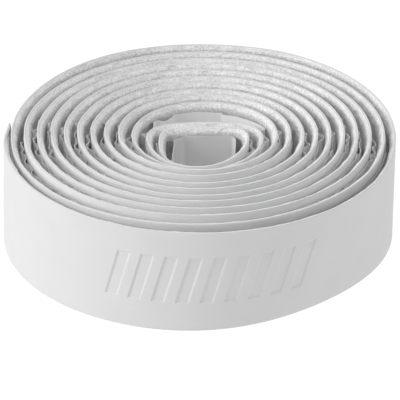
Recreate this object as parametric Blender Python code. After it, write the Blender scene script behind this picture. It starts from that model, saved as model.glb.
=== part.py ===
"""Grip tape roll: a cushioned racket grip wound into a loose spiral that stands on its edge.

The strip is a laminate of four layers. From the outer face inwards they are a polyurethane
skin, a felt backing with thinned edges, a band of adhesive and its release liner. The last
quarter turn is divided into short tail segments on upright hinges, so that the free end can
be peeled off the roll.
"""

import math

import bpy
from mathutils import Vector

MM = 0.001

# The strip: width, and the depth of each layer below the outer face
TAPE_WIDTH = 25.0 * MM
SKIN_THICKNESS = 0.45 * MM
FELT_THICKNESS = 0.95 * MM
ADHESIVE_THICKNESS = 0.06 * MM
LINER_THICKNESS = 0.08 * MM
BOND_GAP = 0.04 * MM

# How far each layer stops short of the strip's edges
FELT_MARGIN = 0.5 * MM
FELT_BEVEL = 4.0 * MM
ADHESIVE_MARGIN = 5.5 * MM
LINER_MARGIN = 2.0 * MM

# The winding, measured on the outer face, in turns from the free end
OUTER_RADIUS = 44.9 * MM
PITCH = 3.03 * MM
TURNS = 12.1875
FREE_END_ANGLE = math.radians(174.375)
STEPS_PER_TURN = 32
END_TUCK = 0.41

# Where hand winding leaves the turns out of round, off centre and uneven in height
FRONT_SQUEEZE = 0.5 * MM
REAR_SQUEEZE = 1.3 * MM
REAR_SLACK = 1.1 * MM
CORE_FRONT_SLACK = 1.9 * MM
CORE_REAR_SQUEEZE = 6.0 * MM
CORE_SIDE_SQUEEZE = 0.4 * MM
CORE_CORNER = 2.1 * MM
CORNER_ANGLE = math.radians(224.0)
CORNER_SHARPNESS = 7.0
EDGE_RAISE = 1.2 * MM

# The stretch of turns over which each of those comes in, or dies away
TUCK_IN = (0.0, 1.0)
SQUEEZE_IN = (0.3, 3.5)
SQUEEZE_OUT = (9.5, 11.3)
SLACK_OUT = (0.8, 1.7)
CORE_FRONT_IN = (9.4, 11.1)
CORE_REAR_IN = (9.9, 10.7)
CORE_SIDE_IN = (10.0, 11.0)
CORNER_IN = (10.4, 12.0)
RAISE_IN = (0.56, 1.9)
RAISE_OUT = (9.0, 10.2)

# The tail: segments at the free end, each hinged to the one before it
TAIL_SEGMENTS = 4
TAIL_SEGMENT_TURNS = 1.0 / 16.0
JOINT_CLEARANCE = 0.3 * MM
SHORT_ARC = 0.01


def eased(span, value):
    """Rise smoothly from 0 at the start of the span to 1 at its end."""
    share = min(max((value - span[0]) / (span[1] - span[0]), 0.0), 1.0)
    return share * share * (3.0 - 2.0 * share)


def winding_point(turns):
    """Point on the outer face at the strip's lower edge, before the roll is centred."""
    angle = FREE_END_ANGLE + 2.0 * math.pi * turns
    side = OUTER_RADIUS - PITCH * (turns - END_TUCK * eased(TUCK_IN, turns))
    side -= CORE_SIDE_SQUEEZE * eased(CORE_SIDE_IN, turns)
    middle = eased(SQUEEZE_IN, turns) * (1.0 - eased(SQUEEZE_OUT, turns))
    front = side - FRONT_SQUEEZE * middle + CORE_FRONT_SLACK * eased(CORE_FRONT_IN, turns)
    rear = side - REAR_SQUEEZE * middle - CORE_REAR_SQUEEZE * eased(CORE_REAR_IN, turns)
    rear += REAR_SLACK * (1.0 - eased(SLACK_OUT, turns))
    to_rear = 0.5 + 0.5 * math.sin(angle)
    depth = front + (rear - front) * to_rear
    towards_corner = max(math.cos(angle - CORNER_ANGLE), 0.0) ** CORNER_SHARPNESS
    corner = CORE_CORNER * eased(CORNER_IN, turns) * towards_corner
    raised = EDGE_RAISE * eased(RAISE_IN, turns) * (1.0 - eased(RAISE_OUT, turns))
    return Vector(((side + corner) * math.cos(angle), (depth + corner) * math.sin(angle), raised))


def box_centre():
    """Centre, in plan, of the box round the outermost turn."""
    points = [winding_point(step / STEPS_PER_TURN) for step in range(STEPS_PER_TURN + 1)]
    across = [point.x for point in points]
    along = [point.y for point in points]
    return Vector(((min(across) + max(across)) / 2.0, (min(along) + max(along)) / 2.0, 0.0))


CENTRE = box_centre()


def spiral_point(turns):
    """Point on the outer face at the strip's lower edge, in the roll's frame."""
    return winding_point(turns) - CENTRE


def inset(turns, distance):
    """Turns at a distance along the strip from another place on it."""
    reach = (spiral_point(turns + SHORT_ARC) - spiral_point(turns)).length
    return turns + SHORT_ARC * distance / reach


def strip_path(start, end, start_gap, end_gap):
    """Points along the outer face between two places, with a gap left at either end."""
    first = math.floor(start * STEPS_PER_TURN) + 1
    last = math.ceil(end * STEPS_PER_TURN) - 1
    places = [inset(start, start_gap)]
    places += [step / STEPS_PER_TURN for step in range(first, last + 1)]
    places.append(inset(end, -end_gap))
    return [spiral_point(place) for place in places]


def make_material(name, colour, roughness, transmission=0.0):
    """Principled material for one layer."""
    material = bpy.data.materials.new(name)
    material.use_nodes = True
    shader = material.node_tree.nodes["Principled BSDF"]
    shader.inputs["Base Color"].default_value = (*colour, 1.0)
    shader.inputs["Roughness"].default_value = roughness
    shader.inputs["Metallic"].default_value = 0.0
    shader.inputs["Transmission Weight"].default_value = transmission
    return material


def poly_curve(name, points, cyclic, dimensions):
    """Curve object with one straight-sided spline."""
    curve = bpy.data.curves.new(name, "CURVE")
    curve.dimensions = dimensions
    spline = curve.splines.new("POLY")
    spline.points.add(len(points) - 1)
    for slot, point in zip(spline.points, points):
        slot.co = (*point, 1.0)
    spline.use_cyclic_u = cyclic
    return bpy.data.objects.new(name, curve)


def layer_profile(name, depth, thickness, margin, bevel, guides):
    """Cross-section of one layer: depth runs in from the outer face, height up the strip."""
    inner = depth + thickness
    low = margin
    high = TAPE_WIDTH - margin
    corners = [
        (-inner, low + bevel, 0.0),
        (-inner, high - bevel, 0.0),
        (-depth, high, 0.0),
        (-depth, low, 0.0),
    ]
    profile = poly_curve(name, corners, True, "2D")
    profile.data.fill_mode = "NONE"
    profile.hide_render = True
    profile.display_type = "WIRE"
    guides.objects.link(profile)
    return profile


def make_strip(name, points, origin, profile, material, parent, model):
    """One layer of one stretch of the strip, swept along the winding."""
    strip = poly_curve(name, [point - origin for point in points], False, "3D")
    strip.data.twist_mode = "Z_UP"
    strip.data.bevel_mode = "OBJECT"
    strip.data.bevel_object = profile
    strip.data.use_fill_caps = True
    strip.data.materials.append(material)
    strip.parent = parent
    model.objects.link(strip)
    return strip


def make_hinge(name, place, previous, previous_origin, model):
    """Empty on the upright hinge axis of one tail segment."""
    hinge = bpy.data.objects.new(name, None)
    hinge.empty_display_size = TAPE_WIDTH
    hinge.location = place - previous_origin
    hinge.parent = previous
    model.objects.link(hinge)
    return hinge


def make_layers(guides):
    """Name, cross-section and material of each layer, from the outer face inwards."""
    felt_depth = SKIN_THICKNESS + BOND_GAP
    adhesive_depth = felt_depth + FELT_THICKNESS + BOND_GAP
    liner_depth = adhesive_depth + ADHESIVE_THICKNESS + BOND_GAP
    white_skin = make_material("white_polyurethane", (0.83, 0.83, 0.83), 0.5)
    white_felt = make_material("white_felt", (0.78, 0.78, 0.77), 0.95)
    clear_glue = make_material("pale_adhesive", (0.80, 0.79, 0.74), 0.3)
    liner_film = make_material("liner_film", (0.74, 0.75, 0.76), 0.25, 0.2)
    return [
        ("skin", layer_profile("skin_section", 0.0, SKIN_THICKNESS, 0.0, 0.0, guides), white_skin),
        ("felt", layer_profile("felt_section", felt_depth, FELT_THICKNESS, FELT_MARGIN,
                               FELT_BEVEL, guides), white_felt),
        ("adhesive", layer_profile("adhesive_section", adhesive_depth, ADHESIVE_THICKNESS,
                                   ADHESIVE_MARGIN, 0.0, guides), clear_glue),
        ("liner", layer_profile("liner_section", liner_depth, LINER_THICKNESS, LINER_MARGIN,
                                0.0, guides), liner_film),
    ]


def build():
    """Make the roll and its hinged tail."""
    for leftover in list(bpy.data.objects):
        bpy.data.objects.remove(leftover)
    model = bpy.data.collections.new("grip_tape_roll")
    guides = bpy.data.collections.new("cutters_and_guides")
    bpy.context.scene.collection.children.link(model)
    bpy.context.scene.collection.children.link(guides)
    layers = make_layers(guides)

    tail_turns = TAIL_SEGMENTS * TAIL_SEGMENT_TURNS
    roll_points = strip_path(tail_turns, TURNS, JOINT_CLEARANCE, 0.0)
    for layer, profile, material in layers:
        make_strip("roll_" + layer, roll_points, Vector(), profile, material, None, model)

    parent = None
    origin = Vector()
    for segment in range(1, TAIL_SEGMENTS + 1):
        hinge_place = tail_turns - (segment - 1) * TAIL_SEGMENT_TURNS
        tip_place = hinge_place - TAIL_SEGMENT_TURNS
        tip_gap = JOINT_CLEARANCE if segment < TAIL_SEGMENTS else 0.0
        axis_point = spiral_point(hinge_place)
        parent = make_hinge(f"tail_{segment}_hinge", axis_point, parent, origin, model)
        origin = axis_point
        points = strip_path(tip_place, hinge_place, tip_gap, JOINT_CLEARANCE)
        for layer, profile, material in layers:
            make_strip(f"tail_{segment}_{layer}", points, origin, profile, material, parent, model)


build()
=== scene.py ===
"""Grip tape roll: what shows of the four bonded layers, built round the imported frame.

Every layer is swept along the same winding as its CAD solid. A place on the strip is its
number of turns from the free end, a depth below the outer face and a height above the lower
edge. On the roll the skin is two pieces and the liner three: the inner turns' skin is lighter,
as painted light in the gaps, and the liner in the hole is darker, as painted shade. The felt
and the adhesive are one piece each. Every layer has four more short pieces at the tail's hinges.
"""

import math

import bpy
import numpy as np
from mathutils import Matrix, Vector


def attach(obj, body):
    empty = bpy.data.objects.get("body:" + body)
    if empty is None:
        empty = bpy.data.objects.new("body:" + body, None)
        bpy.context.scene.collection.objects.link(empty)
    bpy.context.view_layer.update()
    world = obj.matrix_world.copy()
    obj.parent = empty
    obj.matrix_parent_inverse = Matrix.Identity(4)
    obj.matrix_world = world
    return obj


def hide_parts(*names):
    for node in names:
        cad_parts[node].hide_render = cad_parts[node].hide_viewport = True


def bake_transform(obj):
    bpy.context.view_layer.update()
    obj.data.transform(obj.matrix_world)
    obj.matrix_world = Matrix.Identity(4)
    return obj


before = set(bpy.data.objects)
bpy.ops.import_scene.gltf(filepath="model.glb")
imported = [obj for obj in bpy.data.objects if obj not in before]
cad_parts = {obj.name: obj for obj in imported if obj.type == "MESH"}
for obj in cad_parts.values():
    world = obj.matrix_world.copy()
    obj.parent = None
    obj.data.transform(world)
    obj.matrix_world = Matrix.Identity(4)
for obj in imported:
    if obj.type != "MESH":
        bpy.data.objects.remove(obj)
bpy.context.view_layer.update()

MM = 0.001

# The strip and its layers, as the CAD model has them
TAPE_WIDTH = 25.0 * MM
SKIN_THICKNESS = 0.45 * MM
FELT_THICKNESS = 0.95 * MM
ADHESIVE_THICKNESS = 0.06 * MM
LINER_THICKNESS = 0.08 * MM
BOND_GAP = 0.04 * MM
ADHESIVE_MARGIN = 5.5 * MM
LINER_MARGIN = 2.0 * MM
ADHESIVE_WIDTH = TAPE_WIDTH - 2.0 * ADHESIVE_MARGIN
LINER_WIDTH = TAPE_WIDTH - 2.0 * LINER_MARGIN
FELT_DEPTH = SKIN_THICKNESS + BOND_GAP
ADHESIVE_DEPTH = FELT_DEPTH + FELT_THICKNESS + BOND_GAP
LINER_DEPTH = ADHESIVE_DEPTH + ADHESIVE_THICKNESS + BOND_GAP
STRIP_THICKNESS = LINER_DEPTH + LINER_THICKNESS

# The winding, as the CAD model has it, in turns from the free end
OUTER_RADIUS = 44.9 * MM
PITCH = 3.03 * MM
TURNS = 12.1875
FREE_END_ANGLE = math.radians(174.375)
END_TUCK = 0.41
FRONT_SQUEEZE = 0.5 * MM
REAR_SQUEEZE = 1.3 * MM
REAR_SLACK = 1.1 * MM
CORE_FRONT_SLACK = 1.9 * MM
CORE_REAR_SQUEEZE = 6.0 * MM
CORE_SIDE_SQUEEZE = 0.4 * MM
CORE_CORNER = 2.1 * MM
CORNER_ANGLE = math.radians(224.0)
CORNER_SHARPNESS = 7.0
EDGE_RAISE = 1.2 * MM
TUCK_IN = (0.0, 1.0)
SQUEEZE_IN = (0.3, 3.5)
SQUEEZE_OUT = (9.5, 11.3)
SLACK_OUT = (0.8, 1.7)
CORE_FRONT_IN = (9.4, 11.1)
CORE_REAR_IN = (9.9, 10.7)
CORE_SIDE_IN = (10.0, 11.0)
CORNER_IN = (10.4, 12.0)
RAISE_IN = (0.56, 1.9)
RAISE_OUT = (9.0, 10.2)

# Finer unevenness: how far the upper edge stands above or below its place, in millimetres,
# at some turns, and the height and length of the waves along it. The strip's inner end is cut
# a little askew.
EDGE_LIFTS = (
    (0.0, 1.0), (0.05, 0.2), (0.12, 0.0), (0.42, 0.0), (0.58, 0.9), (0.68, 0.8), (0.76, 0.5),
    (0.87, 0.9), (0.97, 0.6), (1.08, 0.1), (1.26, 0.35), (1.77, -0.25), (2.26, 0.2),
    (2.77, -0.2), (3.27, 0.2), (4.27, 0.2), (5.27, 0.0), (7.0, 0.0), (7.27, -0.3),
    (7.77, -0.2), (8.5, 0.0), (9.27, -0.15), (9.77, 0.4), (10.27, -0.2), (10.77, 0.0),
    (11.27, -0.5), (11.77, 0.4), (12.0, 0.0), (12.1875, -1.9),
)
EDGE_WAVES = ((0.07 * MM, 24.0 * MM), (0.04 * MM, 7.0 * MM))

# Slight kinks where the stiff liner lets the strip bend all at once: one at the left of each
# of some turns, and a few loose ones in between
KINK_ANGLE = math.radians(174.0)
KINK_TURNS = range(2, 9)
KINK_HALF_WIDTH = math.radians(17.0)
KINK_WANDER_TURNS = 0.008
KINK_OUT = 0.28 * MM
KINK_OUT_SHARES = (0.6, 1.2)
LOOSE_KINKS = 3
LOOSE_KINK_TURNS = (0.1, 0.9)
LOOSE_KINK_HALF_TURNS = (0.02, 0.05)
LOOSE_KINK_OUT = 0.12 * MM
KINK_SEED = 3

# How far the lower edge stands inwards of the upper one where the winding leans, the direction
# from the roll's middle in which it leans most, and the turns over which the lean dies away
FRONT_LEAN = 2.7 * MM
FRONT_LEAN_ANGLE = math.radians(-50.0)
FRONT_LEAN_SHARPNESS = 6.0
SIDE_LEAN = -0.5 * MM
SIDE_LEAN_ANGLE = math.radians(190.0)
SIDE_LEAN_SHARPNESS = 3.0
LEAN_OUT = (0.6, 8.0)

# The free end: its felt is thinned so that the tip lies close to the next turn inwards
TIP_THINNED = 0.9 * MM
TIP_TURNS = 0.032

# The hinges of the tail, and how far each bent stretch reaches on either side of one
HINGE_TURNS = (0.25, 0.1875, 0.125, 0.0625)
STRETCH_REACH = 1.0 / 32.0
ROLL_START = HINGE_TURNS[0] + STRETCH_REACH

# Places in the table of lengths along the strip, and the lattice behind the smooth noise
TABLE_STEPS = 24000
LATTICE_SIZE = 256
LATTICE = np.random.default_rng(11).random((LATTICE_SIZE, LATTICE_SIZE))

# How far either way along the strip its direction is measured, in turns
SHORT_STEP = 1.0e-5

# The search for the next turn inwards, in turns from a place, and the room past the last one
NEXT_TURN_SEARCH = (0.75, 1.25)
SEARCH_STEPS = 101
CORE_ROOM_TURNS = 0.9
CORE_ROOM = 2.0 * MM


# ---------------------------------------------------------------- the winding

def eased(span, value):
    """Rise smoothly from 0 at the start of the span to 1 at its end."""
    share = np.clip((value - span[0]) / (span[1] - span[0]), 0.0, 1.0)
    return share * share * (3.0 - 2.0 * share)


def noise(first, second, size, layer):
    """Smooth noise from -1 to 1 over two coordinates, with bumps about one size apart."""
    across = first / size + 17.3 * layer
    along = second / size + 5.7 * layer
    across, along = np.broadcast_arrays(across, along)
    column = np.floor(across).astype(int)
    row = np.floor(along).astype(int)
    right = eased((0.0, 1.0), across - column)
    up = eased((0.0, 1.0), along - row)

    def corner(right_step, up_step):
        return LATTICE[(column + right_step) % LATTICE_SIZE, (row + up_step) % LATTICE_SIZE]

    low = corner(0, 0) + (corner(1, 0) - corner(0, 0)) * right
    high = corner(0, 1) + (corner(1, 1) - corner(0, 1)) * right
    return 2.0 * (low + (high - low) * up) - 1.0


def winding(turns):
    """Points on the outer face at the strip's lower edge, before the roll is centred."""
    turns = np.asarray(turns, float)
    angle = FREE_END_ANGLE + 2.0 * math.pi * turns
    side = OUTER_RADIUS - PITCH * (turns - END_TUCK * eased(TUCK_IN, turns))
    side = side - CORE_SIDE_SQUEEZE * eased(CORE_SIDE_IN, turns)
    middle = eased(SQUEEZE_IN, turns) * (1.0 - eased(SQUEEZE_OUT, turns))
    front = side - FRONT_SQUEEZE * middle + CORE_FRONT_SLACK * eased(CORE_FRONT_IN, turns)
    rear = side - REAR_SQUEEZE * middle - CORE_REAR_SQUEEZE * eased(CORE_REAR_IN, turns)
    rear = rear + REAR_SLACK * (1.0 - eased(SLACK_OUT, turns))
    depth = front + (rear - front) * (0.5 + 0.5 * np.sin(angle))
    towards_corner = np.maximum(np.cos(angle - CORNER_ANGLE), 0.0) ** CORNER_SHARPNESS
    corner = CORE_CORNER * eased(CORNER_IN, turns) * towards_corner
    raised = EDGE_RAISE * eased(RAISE_IN, turns) * (1.0 - eased(RAISE_OUT, turns))
    return np.stack([(side + corner) * np.cos(angle), (depth + corner) * np.sin(angle), raised],
                    axis=-1)


def winding_centre():
    """Centre, in plan, of the box round the outermost turn."""
    turn = winding(np.linspace(0.0, 1.0, 33))
    middle = (turn.min(axis=0) + turn.max(axis=0)) / 2.0
    return np.array([middle[0], middle[1], 0.0])


CENTRE = winding_centre()
TABLE_TURNS = np.linspace(0.0, TURNS, TABLE_STEPS)
TABLE_POINTS = winding(TABLE_TURNS) - CENTRE
TABLE_LENGTHS = np.concatenate(
    [[0.0], np.cumsum(np.linalg.norm(np.diff(TABLE_POINTS, axis=0), axis=1))])


def length_at(turns):
    """Distance along the strip from its free end."""
    return np.interp(turns, TABLE_TURNS, TABLE_LENGTHS)


def turns_at(length):
    """Turns at a distance along the strip from its free end."""
    return np.interp(length, TABLE_LENGTHS, TABLE_TURNS)


def kink_table():
    """Turns, half width and outward reach of each kink."""
    draws = np.random.default_rng(KINK_SEED)
    kinks = []
    for turn in KINK_TURNS:
        place = turn + (KINK_ANGLE - FREE_END_ANGLE) / (2.0 * math.pi)
        kinks.append((place + draws.uniform(-KINK_WANDER_TURNS, KINK_WANDER_TURNS),
                      KINK_HALF_WIDTH / (2.0 * math.pi),
                      KINK_OUT * draws.uniform(*KINK_OUT_SHARES)))
        for _ in range(LOOSE_KINKS):
            kinks.append((turn + draws.uniform(*LOOSE_KINK_TURNS),
                          draws.uniform(*LOOSE_KINK_HALF_TURNS),
                          LOOSE_KINK_OUT * draws.uniform(-1.0, 1.0)))
    return kinks


KINKS = kink_table()


def kink_shift(turns):
    """How far the kinks push the strip outwards."""
    shift = np.zeros(np.shape(turns))
    for place, half, reach in KINKS:
        shift = shift + reach * np.maximum(1.0 - np.abs(turns - place) / half, 0.0)
    return shift


def edge_lift(turns):
    """How far the upper edge stands above its place, passing smoothly through EDGE_LIFTS."""
    places = [place for place, _ in EDGE_LIFTS]
    lifts = [lift * MM for _, lift in EDGE_LIFTS]
    after = np.clip(np.searchsorted(places, turns, side="right"), 1, len(places) - 1)
    start = np.take(places, after - 1)
    end = np.take(places, after)
    share = eased((0.0, 1.0), (turns - start) / (end - start))
    lift = np.take(lifts, after - 1) * (1.0 - share) + np.take(lifts, after) * share
    along = length_at(turns)
    for layer, (rise, size) in enumerate(EDGE_WAVES, start=1):
        lift = lift + rise * noise(along, 0.0, size, layer)
    return lift


def edge_lean(turns):
    """How far the strip's lower edge stands inwards of its upper one."""
    angle = FREE_END_ANGLE + 2.0 * math.pi * turns
    front = np.maximum(np.cos(angle - FRONT_LEAN_ANGLE), 0.0) ** FRONT_LEAN_SHARPNESS
    side = np.maximum(np.cos(angle - SIDE_LEAN_ANGLE), 0.0) ** SIDE_LEAN_SHARPNESS
    return (FRONT_LEAN * front + SIDE_LEAN * side) * (1.0 - eased(LEAN_OUT, turns))


def strip_point(turns, depth, height):
    """Points of the strip, for arrays of places, depths and heights of one shape."""
    place = winding(turns) - CENTRE
    travel = winding(turns + SHORT_STEP) - winding(turns - SHORT_STEP)
    reach = np.hypot(travel[..., 0], travel[..., 1])
    inward_x = -travel[..., 1] / reach
    inward_y = travel[..., 0] / reach
    up = np.clip(height / TAPE_WIDTH, 0.0, 1.0)
    inwards = depth - kink_shift(turns) + edge_lean(turns) * (1.0 - up)
    lifted = height + edge_lift(turns) * up
    return np.stack([place[..., 0] + inward_x * inwards, place[..., 1] + inward_y * inwards,
                     place[..., 2] + lifted], axis=-1)


def tip_tuck(turns):
    """How far the free end lies inwards of the even winding."""
    return TIP_THINNED * (1.0 - eased((0.0, TIP_TURNS), turns))


def free_gap(turns):
    """Clear space between the strip's inner face and the next turn inwards."""
    turns = np.asarray(turns, float)
    here = winding(turns)[..., :2]
    following = np.linspace(*NEXT_TURN_SEARCH, SEARCH_STEPS)
    places = np.minimum(turns[:, None] + following, TURNS)
    others = winding(places)[..., :2]
    nearest = np.linalg.norm(others - here[:, None, :], axis=-1).min(axis=1)
    room = nearest - STRIP_THICKNESS - np.abs(edge_lean(turns) - edge_lean(turns + 1.0))
    return np.where(turns > TURNS - CORE_ROOM_TURNS, np.maximum(room, CORE_ROOM), room)


# ---------------------------------------------------------------- meshes

CREASE_ANGLE = math.radians(50.0)


def even_places(start, end, step):
    """Turns at even distances along the strip, both ends included."""
    first = float(length_at(start))
    last = float(length_at(end))
    count = max(2, int(round((last - first) / step)) + 1)
    return turns_at(np.linspace(first, last, count))


def new_mesh(name, points, corners, starts):
    """Mesh from its points, the point at each face corner and the first corner of each face."""
    mesh = bpy.data.meshes.new(name)
    mesh.vertices.add(points.size // 3)
    mesh.vertices.foreach_set("co", points.reshape(-1))
    mesh.loops.add(len(corners))
    mesh.loops.foreach_set("vertex_index", corners)
    mesh.polygons.add(len(starts))
    mesh.polygons.foreach_set("loop_start", starts)
    mesh.update(calc_edges=True)
    return mesh


def new_piece(name, mesh, material):
    """Object for a finished mesh."""
    mesh.materials.append(material)
    piece = bpy.data.objects.new(name, mesh)
    bpy.context.scene.collection.objects.link(piece)
    return piece


def loft(name, places, depth, height, material):
    """Closed mesh of a section that changes along the strip. depth and height have a row for
    each place, and a column for each corner: up the outer side, then down the inner side."""
    count, corners = depth.shape
    points = strip_point(np.broadcast_to(places[:, None], depth.shape), depth, height)
    index = np.arange(count * corners).reshape(count, corners)
    following = np.roll(index, -1, axis=1)
    walls = np.stack([index[:-1], index[1:], following[1:], following[:-1]], axis=-1)
    walls = walls.reshape(-1, 4)
    caps = np.concatenate([index[0], index[-1][::-1]])

    starts = np.concatenate([np.arange(len(walls)) * 4, walls.size + np.array([0, corners])])
    mesh = new_mesh(name, points, np.concatenate([walls.reshape(-1), caps]), starts)

    along = np.broadcast_to(length_at(places)[:, None], depth.shape)
    side = np.hypot(np.diff(depth, axis=1), np.diff(height, axis=1))
    round_section = np.concatenate([np.zeros((count, 1)), np.cumsum(side, axis=1)], axis=1)
    closing = np.hypot(depth[:, 0] - depth[:, -1], height[:, 0] - height[:, -1])
    last_edge = round_section[:, -1] + closing
    upper = np.concatenate([round_section[:, 1:], last_edge[:, None]], axis=1)
    wall_along = np.stack([along[:-1], along[1:], along[1:], along[:-1]], axis=-1)
    wall_round = np.stack([round_section[:-1], round_section[1:], upper[1:], upper[:-1]], axis=-1)
    cap_along = np.concatenate([depth[0], depth[-1][::-1]])
    cap_round = np.concatenate([height[0], height[-1][::-1]])
    grid = np.stack([np.concatenate([wall_along.reshape(-1), cap_along]),
                     np.concatenate([wall_round.reshape(-1), cap_round])], axis=-1) / MM
    layer = mesh.uv_layers.new(name="strip_mm")
    layer.uv.foreach_set("vector", grid.astype(np.float32).reshape(-1))
    wall_height = height.reshape(-1)[walls.reshape(-1)]
    grid[:, 1] = np.concatenate([wall_height, cap_round]) / MM
    layer = mesh.uv_layers.new(name="strip_height")
    layer.uv.foreach_set("vector", grid.astype(np.float32).reshape(-1))

    mesh.shade_smooth()
    mesh.set_sharp_from_angle(angle=CREASE_ANGLE)
    return new_piece(name, mesh, material)


def edge_heights(rounding, steps):
    """Heights up a quarter-round edge, with how far each one stands back from the face."""
    angles = np.linspace(0.0, math.pi / 2.0, steps)
    return rounding * (1.0 - np.cos(angles)), rounding * (1.0 - np.sin(angles))


# ---------------------------------------------------------------- skin

SKIN_ROUNDING = 0.2 * MM
SKIN_EDGE_STEPS = 5
SKIN_INNER_ROUNDING = 0.12 * MM
SKIN_INNER_STEPS = 3
SKIN_STEP = 0.85 * MM
SKIN_UNEVENNESS = 0.035 * MM
SKIN_WAVES = 9.0 * MM
SKIN_SPLIT_TURNS = 1.55

# The motif: a row of plain slanted bars, pressed into the outer face
MOTIF_CENTRE_TURNS = 0.2753
MOTIF_BARS = 9
MOTIF_SPACING = 5.4 * MM
MOTIF_BAR_WIDTH = 2.7 * MM
MOTIF_HEIGHT = 11.4 * MM
MOTIF_MIDDLE = 12.9 * MM
MOTIF_SLANT = 0.28
MOTIF_DEPTH = 0.26 * MM
MOTIF_WALL = 0.35 * MM
MOTIF_STEP = 0.18 * MM
MOTIF_CENTRE = float(length_at(MOTIF_CENTRE_TURNS))
MOTIF_HALF_ROW = MOTIF_BARS * MOTIF_SPACING / 2.0
MOTIF_REACH = MOTIF_HEIGHT / 2.0 + MOTIF_WALL


def motif_press(length, height):
    """How far the row of slanted bars is pressed into the skin."""
    across = length - MOTIF_CENTRE - MOTIF_SLANT * (height - MOTIF_MIDDLE)
    place = (across + MOTIF_HALF_ROW) / MOTIF_SPACING
    from_bar = np.abs(place - np.floor(place) - 0.5) * MOTIF_SPACING - MOTIF_BAR_WIDTH / 2.0
    outside_row = np.abs(across) - MOTIF_HALF_ROW
    outside_height = np.abs(height - MOTIF_MIDDLE) - MOTIF_HEIGHT / 2.0
    outside = np.maximum(np.maximum(from_bar, outside_row), outside_height)
    return MOTIF_DEPTH * (1.0 - eased((-MOTIF_WALL / 2.0, MOTIF_WALL / 2.0), outside))


def with_motif_places(places):
    """The same stretch of places, closer together where the motif is."""
    half = MOTIF_HALF_ROW + MOTIF_SLANT * MOTIF_HEIGHT / 2.0 + MOTIF_WALL
    first = max(float(length_at(places[0])), MOTIF_CENTRE - half)
    last = min(float(length_at(places[-1])), MOTIF_CENTRE + half)
    if last - first <= MOTIF_STEP:
        return places
    fine = even_places(turns_at(first), turns_at(last), MOTIF_STEP)
    outside = places[(places < fine[0] - 1e-6) | (places > fine[-1] + 1e-6)]
    return np.sort(np.concatenate([outside, fine]))


def skin_piece(name, start, end, pressed, material):
    """One stretch of the skin. pressed gives it the fine mesh that the motif needs."""
    low, back = edge_heights(SKIN_ROUNDING, SKIN_EDGE_STEPS)
    inner_low, inner_back = edge_heights(SKIN_INNER_ROUNDING, SKIN_INNER_STEPS)
    top = TAPE_WIDTH - low[::-1]
    if pressed:
        motif_low = MOTIF_MIDDLE - MOTIF_REACH
        motif_high = MOTIF_MIDDLE + MOTIF_REACH
        rows = np.concatenate([
            np.linspace(SKIN_ROUNDING, motif_low, 8)[1:-1],
            np.arange(motif_low, motif_high, MOTIF_STEP),
            np.linspace(motif_high, TAPE_WIDTH - SKIN_ROUNDING, 9)[:-1]])
    else:
        rows = np.linspace(SKIN_ROUNDING, TAPE_WIDTH - SKIN_ROUNDING, 10)[1:-1]
    outer_height = np.concatenate([low, rows, top])
    outer_depth = np.concatenate([back, np.zeros(len(rows)), back[::-1]])
    inner_height = np.concatenate([inner_low, np.linspace(0.3, 0.7, 2) * TAPE_WIDTH,
                                   TAPE_WIDTH - inner_low[::-1]])
    inner_depth = SKIN_THICKNESS - np.concatenate([inner_back, np.zeros(2), inner_back[::-1]])
    on_face = np.concatenate([np.zeros(len(low)), np.ones(len(rows)), np.zeros(len(low)),
                              np.zeros(len(inner_height))])
    height = np.concatenate([outer_height, inner_height[::-1]])
    depth = np.concatenate([outer_depth, inner_depth[::-1]])

    places = even_places(start, end, SKIN_STEP)
    if pressed:
        places = with_motif_places(places)
    length = length_at(places)[:, None]
    depths = np.broadcast_to(depth, (len(places), len(depth))).copy()
    heights = np.broadcast_to(height, depths.shape).copy()
    depths += SKIN_UNEVENNESS * noise(length, heights, SKIN_WAVES, 3) * on_face
    depths += motif_press(length, heights) * on_face
    depths += tip_tuck(places)[:, None]
    return loft(name, places, depths, heights, material)


# ---------------------------------------------------------------- felt

FELT_STEP = 0.56 * MM
FELT_EDGE_THICKNESS = 0.12 * MM
FELT_SHOULDER = 3.4 * MM
FELT_EDGE_GAP = 0.15 * MM
FELT_WIDTH = TAPE_WIDTH - 2.0 * FELT_EDGE_GAP
FELT_SHOULDER_ROUNDNESS = 1.7
FELT_FLUFF = 0.3 * MM
FLUFF_PLACE = 1.5 * MM
FLUFF_REACH = 0.9 * MM
FELT_THINNEST = 0.08 * MM

# Heights at which the felt's section has points, in millimetres from either edge
FELT_ROWS = (0.0, 0.08, 0.25, 0.5, 0.8, 1.1, 1.4, 1.75, 2.15, 2.6, 3.3, 4.8)

# Height of the tufts and the distance between them, both in millimetres
FELT_TUFTS = ((0.13, 1.0), (0.15, 2.1), (0.08, 5.5))
TUFTS_FULL_FROM_EDGE = 0.6 * MM
TUFTS_AT_EDGE = 0.35
RAGGED_REACH = 0.07 * MM
RAGGED_SIZE = 1.3 * MM
RAGGED_BAND = 3.0 * MM

# Loose fibres: their number, their length, radius and distance from the edge in millimetres,
# how deep they are rooted, and the share of them at the upper edge
FIBRES_PER_METRE = 7000.0
FIBRE_LENGTHS = (0.3, 1.0)
FIBRE_RADII = (0.02, 0.05)
FIBRE_PLACES = (0.05, 2.6)
FIBRE_ROOT = 0.08 * MM
UPPER_FIBRES = 0.6

# How far a fibre reaches along the strip, inwards and up, as shares of its length: the least
# or middle reach and how much is drawn on top. It lies flat near the very edge.
FIBRE_ALONG = 0.8
FIBRE_INWARDS = (0.15, 0.35)
FIBRE_UP = (0.3, 0.4)
FIBRE_FLAT_BAND = 0.9 * MM

# Each ring of a fibre: its place along the fibre and its share of the radius. The tip bends
# back a little, to these shares of the reach inwards and up.
FIBRE_RINGS = ((0.0, 1.0), (0.5, 0.85))
FIBRE_TIP_INWARDS = 0.8
FIBRE_TIP_UP = 0.75


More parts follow.
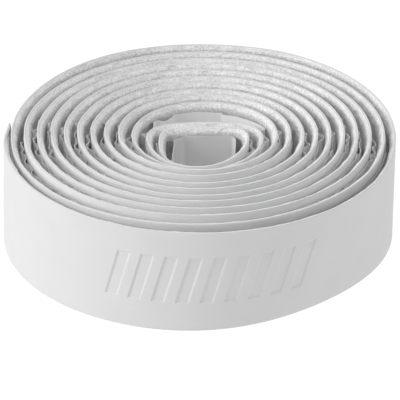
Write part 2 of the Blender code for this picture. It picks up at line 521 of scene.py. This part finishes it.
def felt_thickness(from_edge):
    """Thickness of the felt at a distance from its edge: a round shoulder, fluffed up just
    outside the liner."""
    share = np.clip(from_edge / FELT_SHOULDER, 0.0, 1.0)
    shoulder = 1.0 - (1.0 - share) ** FELT_SHOULDER_ROUNDNESS
    fluff = FELT_FLUFF * np.exp(-((from_edge - FLUFF_PLACE) / FLUFF_REACH) ** 2)
    return FELT_EDGE_THICKNESS + (FELT_THICKNESS - FELT_EDGE_THICKNESS) * shoulder + fluff


def felt_roughness(length, height):
    """How far the tufts stand above or below the felt's even face."""
    tufts = 0.0
    for layer, (rise, size) in enumerate(FELT_TUFTS, start=4):
        tufts = tufts + rise * noise(length, height, size * MM, layer)
    return tufts * MM


def felt_piece(name, start, end, material):
    """One stretch of the felt, thinned towards both edges and roughened on its inner side."""
    outer_height = np.array([0.0, 0.3, 0.7, 1.0]) * FELT_WIDTH
    edge = np.array(FELT_ROWS) * MM
    inner_height = np.concatenate([edge, [0.5 * FELT_WIDTH], FELT_WIDTH - edge[::-1]])[::-1]
    from_edge = np.minimum(inner_height, FELT_WIDTH - inner_height)

    places = even_places(start, end, FELT_STEP)
    length = length_at(places)[:, None]
    inner = np.broadcast_to(inner_height, (len(places), len(inner_height)))
    fluffed = eased((0.0, TUFTS_FULL_FROM_EDGE), from_edge)
    tufts = felt_roughness(length, inner) * (TUFTS_AT_EDGE + (1.0 - TUFTS_AT_EDGE) * fluffed)
    tuck = tip_tuck(places)[:, None]
    thickness = np.maximum(felt_thickness(from_edge) + tufts - tuck, FELT_THINNEST)
    ragged = RAGGED_REACH * noise(length, 0.0, RAGGED_SIZE, 7)
    outwards = np.where(inner_height > FELT_WIDTH / 2.0, 1.0, -1.0)
    side = outwards * (1.0 - eased((0.0, RAGGED_BAND), from_edge))
    outer = np.broadcast_to(outer_height, (len(places), 4))
    heights = FELT_EDGE_GAP + np.concatenate([outer, inner + ragged * side], axis=1)
    depths = FELT_DEPTH + tuck + np.concatenate([np.zeros(outer.shape), thickness], axis=1)
    return loft(name, places, depths, heights, material)


def felt_fibres(name, start, end, seed, material):
    """Loose fibres that stand out of the felt's shoulders, each a bent tapering tube."""
    draws = np.random.default_rng(seed)
    first = float(length_at(start))
    last = float(length_at(end))
    count = int(FIBRES_PER_METRE * (last - first))
    length = draws.uniform(first, last, count)
    from_edge = draws.uniform(*FIBRE_PLACES, count) * MM
    up = np.where(draws.uniform(0.0, 1.0, count) < UPPER_FIBRES, 1.0, -1.0)
    height = np.where(up > 0.0, FELT_WIDTH - from_edge, from_edge)
    turns = turns_at(length)
    tuck = tip_tuck(turns)
    thickness = felt_thickness(from_edge) + felt_roughness(length, height)
    depth = FELT_DEPTH + tuck + np.maximum(thickness - tuck, FELT_THINNEST) - FIBRE_ROOT
    reach = draws.uniform(*FIBRE_LENGTHS, count) * MM
    thick = draws.uniform(*FIBRE_RADII, count) * MM
    lean = draws.uniform(-1.0, 1.0, (3, count))
    along_step = reach * FIBRE_ALONG * lean[0]
    in_step = reach * (FIBRE_INWARDS[0] + FIBRE_INWARDS[1] * np.abs(lean[1]))
    up_step = reach * up * (FIBRE_UP[0] + FIBRE_UP[1] * lean[2])
    up_step = up_step * eased((0.0, FIBRE_FLAT_BAND), from_edge)
    rings = []
    for share, width in FIBRE_RINGS:
        for corner in range(3):
            turn = 2.0 * math.pi * corner / 3.0
            place = length + along_step * share + thick * width * math.cos(turn)
            rise = up_step * share + thick * width * math.sin(turn)
            rings.append(strip_point(turns_at(place), depth + in_step * share,
                                     FELT_EDGE_GAP + height + rise))
    tip = strip_point(turns_at(length + along_step), depth + in_step * FIBRE_TIP_INWARDS,
                      FELT_EDGE_GAP + height + up_step * FIBRE_TIP_UP)
    points = np.stack(rings + [tip], axis=1)
    base = np.arange(count)[:, None] * 7
    quads = np.concatenate([base + np.array([j, (j + 1) % 3, 3 + (j + 1) % 3, 3 + j])
                            for j in range(3)])
    triangles = np.concatenate([base + np.array([3 + j, 3 + (j + 1) % 3, 6]) for j in range(3)]
                               + [base + np.array([0, 2, 1])])
    corners = np.concatenate([quads.reshape(-1), triangles.reshape(-1)])
    starts = np.concatenate([np.arange(len(quads)) * 4,
                             quads.size + np.arange(len(triangles)) * 3])
    mesh = new_mesh(name, points, corners, starts)
    mesh.shade_smooth()
    return new_piece(name, mesh, material)


# ---------------------------------------------------------------- adhesive

ADHESIVE_STEP = 1.2 * MM
ADHESIVE_WANDER = 0.2 * MM
ADHESIVE_WAVES = 6.0 * MM


def adhesive_piece(name, start, end, material):
    """One stretch of the adhesive band, with slightly wandering edges."""
    share = np.array([0.0, 0.33, 0.67, 1.0])
    places = even_places(start, end, ADHESIVE_STEP)
    length = length_at(places)[:, None]
    wander = ADHESIVE_WANDER * noise(length, 0.0, ADHESIVE_WAVES, 8)
    height = ADHESIVE_MARGIN + np.concatenate([share, share[::-1]]) * ADHESIVE_WIDTH
    heights = height + wander * np.ones((1, 8))
    depth = np.concatenate([np.full(4, ADHESIVE_DEPTH),
                            np.full(4, ADHESIVE_DEPTH + ADHESIVE_THICKNESS)])
    depths = np.broadcast_to(depth, heights.shape)
    return loft(name, places, depths, heights, material)


# ---------------------------------------------------------------- liner

LINER_STEP = 0.42 * MM
LINER_END_TURNS = 12.16
LINER_SPLIT_TURNS = 4.9
CORE_LINER_TURNS = 11.42
LINER_CLEARANCE = 0.12 * MM
LINER_LEAST_ROOM = 0.05 * MM

# Buckles over the whole width: their length along the strip, and how high, leaning and
# lopsided they are. A buckle's height is CELL_RISE times its length, divided by the square
# root of the bend's radius in millimetres, and then varied by its share.
CELL_SIZES = (4.5 * MM, 13.0 * MM)
CELL_RISE = 0.75
CELL_RISE_SHARES = (0.35, 1.5)
CELL_LEAN = 0.35
CELL_SKEW = 0.7
CELL_SEED = 23
LEAN_REACH = 9.0 * MM

# Ruffles: folds of the margins that the adhesive doesn't hold
RUFFLE_START = 2.0 * MM
RUFFLE_SPACING = (3.6 * MM, 6.4 * MM)
RUFFLE_HALF_WIDTH = (1.5 * MM, 3.2 * MM)
RUFFLE_RISE = (1.4 * MM, 2.6 * MM)
RUFFLE_HEIGHT = 3.5 * MM
MARGIN_RISE_IN = (-0.3 * RUFFLE_HEIGHT, RUFFLE_HEIGHT)
RUFFLE_SEEDS = (31, 32)

# Finer unevenness: the margins curl inwards, and the film is cockled all over
MARGIN_CURL = 0.2 * MM
MARGIN_CURL_WAVES = 9.0 * MM
COCKLE_RISE = 0.05 * MM
COCKLE_SIZE = 2.6 * MM

# How far the film lies above the strip's middle, and the reach and length of its wander
# across the strip, all in millimetres
LINER_SHIFT = 0.25
LINER_WANDER = ((0.30, 40.0), (0.12, 5.0))

# Buckles in and near the hole, which are plain to see: the turns at either end of the buckle,
# its height in millimetres, how its end creases lean, and how far its top lies towards the
# inner end of the strip. No ruffles are added to them.
BUCKLES = (
    (9.50, 9.563, 1.4, 0.05, 0.6),
    (9.563, 9.7155, 1.25, 0.0, 0.8),
    (9.7155, 9.84, 0.6, 0.02, -0.3),
    (9.84, 9.896, 1.5, -0.10, 0.5),
    (9.896, 9.966, 1.7, 0.06, 0.2),
    (9.966, 10.03, 1.9, 0.10, 0.0),
    (10.97, 11.21, 0.7, 0.0, 0.0),
    (11.21, 11.42, 0.6, 0.0, 0.0),
    (11.42, 11.64, 1.3, 0.0, 0.0),
    (11.64, 11.83, 0.4, 0.0, 0.0),
    (11.83, 12.13, 1.7, 0.0, 0.1),
    (12.13, 12.19, 0.4, 0.0, 0.0),
)
ARCH_FULLNESS = 0.75


def is_chosen(length):
    """Whether a place on the strip has one of the buckles listed in BUCKLES."""
    return any(length_at(start) < length < length_at(end) for start, end, *_ in BUCKLES)


def buckle_cells():
    """Length at both ends, height, lean and skew of every buckle along the strip."""
    draws = np.random.default_rng(CELL_SEED)
    cells = [(float(length_at(start)), float(length_at(end)), rise * MM, lean, skew)
             for start, end, rise, lean, skew in BUCKLES]
    place = 0.0
    while place < TABLE_LENGTHS[-1]:
        size = draws.uniform(*CELL_SIZES)
        radius = float(np.hypot(*winding(turns_at(place))[:2]))
        rise = size * CELL_RISE / math.sqrt(radius / MM) * draws.uniform(*CELL_RISE_SHARES)
        lean = draws.uniform(-CELL_LEAN, CELL_LEAN)
        if not is_chosen(place + size / 2.0):
            cells.append((place, place + size, rise, lean, draws.uniform(-CELL_SKEW, CELL_SKEW)))
        place += size
    return cells


def ruffle_folds(seed):
    """Length, half width on either side and rise of each fold along one free margin."""
    draws = np.random.default_rng(seed)
    folds = []
    place = RUFFLE_START
    while place < TABLE_LENGTHS[-1]:
        if not is_chosen(place):
            folds.append((place, draws.uniform(*RUFFLE_HALF_WIDTH),
                          draws.uniform(*RUFFLE_HALF_WIDTH), draws.uniform(*RUFFLE_RISE)))
        place += draws.uniform(*RUFFLE_SPACING)
    return folds


CELLS = buckle_cells()
UPPER_FOLDS = ruffle_folds(RUFFLE_SEEDS[0])
LOWER_FOLDS = ruffle_folds(RUFFLE_SEEDS[1])


def ruffles(length, folds):
    """How far the folds of one free margin stand off at its very edge."""
    standoff = np.zeros(length.shape)
    for place, before, after, rise in folds:
        near = (length > place - before) & (length < place + after)
        away = length[near] - place
        share = np.where(away < 0.0, -away / before, away / after)
        standoff[near] = np.maximum(standoff[near], rise * (1.0 - share))
    return standoff


def liner_standoff(length, height, room):
    """How far the liner has buckled away from the adhesive, at most the room there is."""
    above = height - TAPE_WIDTH / 2.0
    standoff = np.zeros(height.shape)
    for start, end, rise, lean, skew in CELLS:
        near = (length[:, 0] > start - LEAN_REACH) & (length[:, 0] < end + LEAN_REACH)
        if not near.any():
            continue
        share = (length[near] - lean * above[near] - start) / (end - start)
        share = np.clip(share, 0.0, 1.0)
        rising = ARCH_FULLNESS * (1.0 + skew)
        falling = ARCH_FULLNESS * (1.0 - skew)
        top = 0.5 + 0.5 * skew
        arch = (share / top) ** rising * ((1.0 - share) / (1.0 - top)) ** falling
        standoff[near] = np.maximum(standoff[near], rise * arch)
    band = TAPE_WIDTH / 2.0 - ADHESIVE_MARGIN
    in_upper = eased(MARGIN_RISE_IN, above - band)
    in_lower = eased(MARGIN_RISE_IN, -above - band)
    standoff = np.maximum(standoff, in_upper * ruffles(length, UPPER_FOLDS)
                          + in_lower * ruffles(length, LOWER_FOLDS))
    curling = 0.5 + 0.5 * noise(length, 0.0, MARGIN_CURL_WAVES, 9)
    curl = MARGIN_CURL * curling * (in_upper + in_lower)
    cockle = COCKLE_RISE * (1.0 + noise(length, height, COCKLE_SIZE, 10))
    return np.minimum(standoff + curl + cockle, room)


def liner_piece(name, start, end, material):
    """One stretch of the release liner, buckled off the adhesive by the bend of the strip."""
    share = np.concatenate([np.linspace(0.0, 0.2, 4)[:-1], np.linspace(0.2, 0.8, 5)[:-1],
                            np.linspace(0.8, 1.0, 4)])
    places = even_places(start, end, LINER_STEP)
    length = length_at(places)[:, None]
    wander = LINER_SHIFT
    for layer, (reach, size) in enumerate(LINER_WANDER, start=12):
        wander = wander + reach * noise(length, 0.0, size * MM, layer)
    height = LINER_MARGIN + share * LINER_WIDTH + wander * MM
    room = np.maximum(free_gap(places)[:, None] - LINER_CLEARANCE, LINER_LEAST_ROOM)
    outer = LINER_DEPTH + liner_standoff(length, height, room)
    inner = outer + LINER_THICKNESS
    depths = np.concatenate([outer, inner[:, ::-1]], axis=1)
    heights = np.concatenate([height, height[:, ::-1]], axis=1)
    return loft(name, places, depths, heights, material)


# ---------------------------------------------------------------- materials

# How light the skin and the liner are, from 0 to 1. The inner turns' skin is lighter, as painted
# light in the gaps between turns, and the liner in the hole darker, as painted shade. The tone at
# the skin's edges is painted shade.
OUTER_SKIN_TONE = 0.68
INNER_SKIN_PAINTED_LIGHT_TONE = 0.85
EDGE_SHADE_TONE = 0.62
LINER_TONE = 0.92
CORE_LINER_SHADE_TONE = 0.68


def new_material(name, colour, roughness):
    """Principled material, with its shader and node tree."""
    material = bpy.data.materials.new(name)
    material.use_nodes = True
    tree = material.node_tree
    shader = tree.nodes["Principled BSDF"]
    shader.inputs["Base Color"].default_value = (*colour, 1.0)
    shader.inputs["Roughness"].default_value = roughness
    return material, tree, shader


def strip_noise(tree, features_per_mm, detail, stretch=(1.0, 1.0)):
    """Noise laid out along the strip, in features per millimetre."""
    place = tree.nodes.new("ShaderNodeUVMap")
    place.uv_map = "strip_mm"
    mapping = tree.nodes.new("ShaderNodeMapping")
    mapping.inputs["Scale"].default_value = (stretch[0], stretch[1], 1.0)
    texture = tree.nodes.new("ShaderNodeTexNoise")
    texture.inputs["Scale"].default_value = features_per_mm
    texture.inputs["Detail"].default_value = detail
    tree.links.new(place.outputs["UV"], mapping.inputs["Vector"])
    tree.links.new(mapping.outputs["Vector"], texture.inputs["Vector"])
    return texture.outputs["Fac"]


def depth_below_edge(tree, start, end, unevenness):
    """0 along the strip's edges, 1 further in, with an uneven passage between them."""
    place = tree.nodes.new("ShaderNodeUVMap")
    place.uv_map = "strip_height"
    parts = tree.nodes.new("ShaderNodeSeparateXYZ")
    tree.links.new(place.outputs["UV"], parts.inputs["Vector"])
    middle = tree.nodes.new("ShaderNodeMath")
    middle.operation = "SUBTRACT"
    middle.inputs[1].default_value = TAPE_WIDTH / MM / 2.0
    tree.links.new(parts.outputs["Y"], middle.inputs[0])
    above = tree.nodes.new("ShaderNodeMath")
    above.operation = "ABSOLUTE"
    tree.links.new(middle.outputs["Value"], above.inputs[0])
    depth = tree.nodes.new("ShaderNodeMapRange")
    depth.inputs["From Min"].default_value = TAPE_WIDTH / MM / 2.0 - start
    depth.inputs["From Max"].default_value = TAPE_WIDTH / MM / 2.0 - end
    depth.clamp = False
    tree.links.new(above.outputs["Value"], depth.inputs["Value"])
    uneven = tree.nodes.new("ShaderNodeMapRange")
    uneven.inputs["To Min"].default_value = -unevenness / 2.0
    uneven.inputs["To Max"].default_value = unevenness / 2.0
    tree.links.new(strip_noise(tree, 1.9, 4.0), uneven.inputs["Value"])
    total = tree.nodes.new("ShaderNodeMath")
    total.operation = "ADD"
    tree.links.new(depth.outputs["Result"], total.inputs[0])
    tree.links.new(uneven.outputs["Result"], total.inputs[1])
    return total.outputs["Value"]


def multiplied(tree, target):
    """Two colour sockets whose product drives the target."""
    product = tree.nodes.new("ShaderNodeMix")
    product.data_type = "RGBA"
    product.blend_type = "MULTIPLY"
    product.inputs["Factor"].default_value = 1.0
    tree.links.new(product.outputs["Result"], target)
    return product.inputs["A"], product.inputs["B"]


def grey(tone):
    """Colour with the same tone in all three channels."""
    return (tone, tone, tone)


def tint(tree, factor, low, high, target):
    """Drive a colour socket from one colour to another as the factor rises."""
    ramp = tree.nodes.new("ShaderNodeValToRGB")
    ramp.color_ramp.elements[0].position = 0.3
    ramp.color_ramp.elements[0].color = (*low, 1.0)
    ramp.color_ramp.elements[1].position = 0.7
    ramp.color_ramp.elements[1].color = (*high, 1.0)
    tree.links.new(factor, ramp.inputs["Fac"])
    tree.links.new(ramp.outputs["Color"], target)


def spread(tree, factor, low, high, target):
    """Drive a value socket from low to high by a noise."""
    span = tree.nodes.new("ShaderNodeMapRange")
    span.inputs["To Min"].default_value = low
    span.inputs["To Max"].default_value = high
    tree.links.new(factor, span.inputs["Value"])
    tree.links.new(span.outputs["Result"], target)


def bumped(tree, shader, layers):
    """Chain of bump nodes, one for each (height, distance, strength)."""
    previous = None
    for height, distance, strength in layers:
        bump = tree.nodes.new("ShaderNodeBump")
        bump.inputs["Distance"].default_value = distance
        bump.inputs["Strength"].default_value = strength
        tree.links.new(height, bump.inputs["Height"])
        if previous is not None:
            tree.links.new(previous.outputs["Normal"], bump.inputs["Normal"])
        previous = bump
    tree.links.new(previous.outputs["Normal"], shader.inputs["Normal"])


def skin_material(name, face):
    """Smooth white polyurethane with a fine pore, with painted shade that darkens it along its
    edges.
    """
    material, tree, shader = new_material(name, grey(face), 0.5)
    shader.inputs["Specular IOR Level"].default_value = 0.35
    clouded, painted_edge_shade = multiplied(tree, shader.inputs["Base Color"])
    tint(tree, strip_noise(tree, 0.12, 3.0), grey(face - 0.01), grey(face + 0.01), clouded)
    # Painted shade: the skin's tone falls towards both edges of the strip.
    tint(tree, depth_below_edge(tree, 0.05, 0.3, 0.1), grey(EDGE_SHADE_TONE / face), grey(1.0),
         painted_edge_shade)
    spread(tree, strip_noise(tree, 0.5, 2.0), 0.48, 0.62, shader.inputs["Roughness"])
    bumped(tree, shader, [(strip_noise(tree, 0.35, 2.0), 0.05 * MM, 0.5),
                          (strip_noise(tree, 5.0, 3.0), 0.012 * MM, 0.5)])
    return material


def felt_material():
    """Needled white felt, mottled by the tufts, with painted shade that darkens it deeper below the
    edge.
    """
    material, tree, shader = new_material("white_felt", grey(0.85), 0.95)
    shader.inputs["Sheen Weight"].default_value = 0.25
    shader.inputs["Sheen Roughness"].default_value = 0.5
    shader.inputs["Specular IOR Level"].default_value = 0.2
    mottled, painted_depth_shade = multiplied(tree, shader.inputs["Base Color"])
    tint(tree, strip_noise(tree, 1.8, 5.0, (1.0, 1.3)), grey(0.66), grey(0.97), mottled)
    # Painted shade: the felt darkens with depth below the strip's edge.
    tint(tree, depth_below_edge(tree, 0.4, 1.5, 1.2), grey(1.0), grey(0.7), painted_depth_shade)
    bumped(tree, shader, [(strip_noise(tree, 1.2, 4.0), 0.3 * MM, 0.8),
                          (strip_noise(tree, 5.0, 5.0, (1.0, 2.2)), 0.12 * MM, 0.8)])
    return material


def fibre_material():
    """The felt's own fibres where they stand loose."""
    material, tree, shader = new_material("loose_fibre", grey(0.86), 0.7)
    shader.inputs["Specular IOR Level"].default_value = 0.25
    place = tree.nodes.new("ShaderNodeTexCoord")
    texture = tree.nodes.new("ShaderNodeTexNoise")
    texture.inputs["Scale"].default_value = 900.0
    tree.links.new(place.outputs["Object"], texture.inputs["Vector"])
    tint(tree, texture.outputs["Fac"], grey(0.80), (0.90, 0.90, 0.89),
         shader.inputs["Base Color"])
    return material


def adhesive_material():
    """Pale tacky adhesive."""
    material, tree, shader = new_material("pale_adhesive", (0.80, 0.79, 0.74), 0.3)
    tint(tree, strip_noise(tree, 0.4, 3.0), (0.77, 0.76, 0.70), (0.83, 0.82, 0.78),
         shader.inputs["Base Color"])
    bumped(tree, shader, [(strip_noise(tree, 2.5, 2.0), 0.04 * MM, 0.6)])
    return material


def liner_material(name, tone):
    """Thin glossy release film, faintly cockled between its creases."""
    material, tree, shader = new_material(name, grey(tone), 0.35)
    shader.inputs["Specular IOR Level"].default_value = 0.5
    tint(tree, strip_noise(tree, 0.15, 2.0), grey(tone - 0.02), grey(tone + 0.02),
         shader.inputs["Base Color"])
    spread(tree, strip_noise(tree, 0.6, 2.0), 0.32, 0.48, shader.inputs["Roughness"])
    bumped(tree, shader, [(strip_noise(tree, 0.5, 2.0, (1.0, 0.4)), 0.15 * MM, 0.4)])
    return material


# ---------------------------------------------------------------- stage, light and camera

# Each light: its name, its place, its side in metres and its power in watts
LIGHTS = (
    ("key", Vector((-1.6, -0.5, 0.7)), 1.0, 19.2),
    ("fill", Vector((1.6, -0.45, 0.9)), 1.0, 5.2),
    ("top", Vector((0.0, -0.05, 1.6)), 1.0, 12.5),
    ("rear", Vector((-0.1, 1.1, 1.2)), 1.2, 3.5),
)
LIGHT_TARGET = Vector((0.0, 0.0, 0.01))
WORLD_STRENGTH = 0.35
FLOOR_SIZE = 6.0
FLOOR_DROP = 0.05 * MM
CAMERA_DISTANCE = 0.9
CAMERA_ELEVATION = math.radians(29.3)
CAMERA_TARGET = Vector((0.14 * MM, -1.8 * MM, 9.3 * MM))
CAMERA_LENS = 355.6
SENSOR_WIDTH = 36.0


def make_stage():
    """Plain pale floor."""
    bpy.ops.mesh.primitive_plane_add(size=FLOOR_SIZE, location=(0.0, 0.0, -FLOOR_DROP))
    floor = bpy.context.object
    floor.name = "floor"
    material, _, shader = new_material("pale_floor", grey(0.03), 0.9)
    shader.inputs["Specular IOR Level"].default_value = 0.0
    shader.inputs["Emission Color"].default_value = (1.0, 1.0, 1.0, 1.0)
    shader.inputs["Emission Strength"].default_value = 1.0
    floor.data.materials.append(material)


def area_light(name, place, size, power):
    """Square soft light aimed at the roll."""
    data = bpy.data.lights.new(name, "AREA")
    data.shape = "SQUARE"
    data.size = size
    data.energy = power
    light = bpy.data.objects.new(name, data)
    light.location = place
    light.rotation_euler = (LIGHT_TARGET - place).to_track_quat("-Z", "Y").to_euler()
    bpy.context.scene.collection.objects.link(light)


def make_light():
    """Pale surroundings, a key from the left, a weak fill, and soft light from above and behind."""
    world = bpy.data.worlds.new("studio")
    bpy.context.scene.world = world
    world.use_nodes = True
    background = world.node_tree.nodes["Background"]
    background.inputs["Color"].default_value = (1.0, 1.0, 1.0, 1.0)
    background.inputs["Strength"].default_value = WORLD_STRENGTH
    for name, place, size, power in LIGHTS:
        area_light(name, place, size, power)
    bpy.context.scene.view_settings.view_transform = "Standard"


def make_camera():
    """Camera with a long lens, looking down at the front of the roll."""
    data = bpy.data.cameras.new("camera")
    data.lens = CAMERA_LENS
    data.sensor_width = SENSOR_WIDTH
    data.clip_start = 0.01
    camera = bpy.data.objects.new("camera", data)
    back = Vector((0.0, -math.cos(CAMERA_ELEVATION), math.sin(CAMERA_ELEVATION)))
    camera.location = CAMERA_TARGET + CAMERA_DISTANCE * back
    camera.rotation_euler = (-back).to_track_quat("-Z", "Y").to_euler()
    bpy.context.scene.collection.objects.link(camera)
    bpy.context.scene.camera = camera


# ---------------------------------------------------------------- assembly

ROLL_FIBRE_SEED = 31
TAIL_FIBRE_SEED = 40


def ride_roll(piece, stands_for=None):
    """Fix one stretch of a layer to the roll."""
    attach(piece, "roll")
    if stands_for:
        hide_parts(stands_for)


def make_roll(materials):
    """All four layers from the tail's first hinge to the strip's inner end."""
    ride_roll(skin_piece("skin_outer_turn", ROLL_START, SKIN_SPLIT_TURNS, True, materials["skin"]),
              "roll_skin")
    # The inner turns' skin is lighter, as painted light in the gaps between turns.
    ride_roll(skin_piece("skin_inner_turns", SKIN_SPLIT_TURNS, TURNS, False,
                         materials["inner_skin_painted_light"]))
    ride_roll(felt_piece("felt_roll", ROLL_START, TURNS, materials["felt"]),
              "roll_felt")
    fibres = felt_fibres("felt_fibres_roll", ROLL_START, TURNS, ROLL_FIBRE_SEED,
                         materials["fibre"])
    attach(fibres, "roll")
    ride_roll(adhesive_piece("adhesive_roll", ROLL_START, TURNS, materials["adhesive"]),
              "roll_adhesive")
    stretches = (
        ("liner_outer_turns", ROLL_START, LINER_SPLIT_TURNS, "liner", "roll_liner"),
        ("liner_inner_turns", LINER_SPLIT_TURNS, CORE_LINER_TURNS, "liner", None),
        # The liner in the hole has a darker tone, as painted shade.
        ("liner_in_core", CORE_LINER_TURNS, LINER_END_TURNS, "core_liner_painted_shade", None),
    )
    for name, start, end, film, stands_for in stretches:
        ride_roll(liner_piece(name, start, end, materials[film]),
                  stands_for)


def make_tail_segment(number, hinge, materials):
    """All four layers of the stretch at one hinge of the tail."""
    moving = f"tail_{number}"
    far = hinge + STRETCH_REACH
    near = hinge - STRETCH_REACH
    tip = 0.0 if number == len(HINGE_TURNS) else near
    ends = strip_point(np.array([far, near]), np.zeros(2), np.zeros(2))
    layers = (
        ("skin", TAPE_WIDTH,
         skin_piece(f"skin_tail_{number}", tip, far, True, materials["skin"])),
        ("felt", FELT_WIDTH,
         felt_piece(f"felt_tail_{number}", tip, far, materials["felt"])),
        ("adhesive", ADHESIVE_WIDTH,
         adhesive_piece(f"adhesive_tail_{number}", tip, far, materials["adhesive"])),
        ("liner", LINER_WIDTH,
         liner_piece(f"liner_tail_{number}", tip, far, materials["liner"])),
    )
    for slot, width, piece in layers:
        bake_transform(piece)
        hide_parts(f"{moving}_{slot}")
    fibres = felt_fibres(f"felt_fibres_tail_{number}", tip, far, TAIL_FIBRE_SEED + number,
                         materials["fibre"])
    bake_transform(fibres)


def make_strip():
    """The whole strip, on the roll and across the tail's hinges."""
    materials = {
        "skin": skin_material("white_polyurethane", OUTER_SKIN_TONE),
        # The inner turns' skin carries painted light in the gaps between turns.
        "inner_skin_painted_light": skin_material("white_polyurethane_inner_turns_painted_light", INNER_SKIN_PAINTED_LIGHT_TONE),
        "felt": felt_material(),
        "fibre": fibre_material(),
        "adhesive": adhesive_material(),
        "liner": liner_material("liner_film", LINER_TONE),
        # The liner in the hole is darker, as painted shade.
        "core_liner_painted_shade": liner_material("liner_film_painted_shade", CORE_LINER_SHADE_TONE),
    }
    make_roll(materials)
    for number, hinge in enumerate(HINGE_TURNS, start=1):
        make_tail_segment(number, hinge, materials)


make_camera()
make_stage()
make_light()
make_strip()
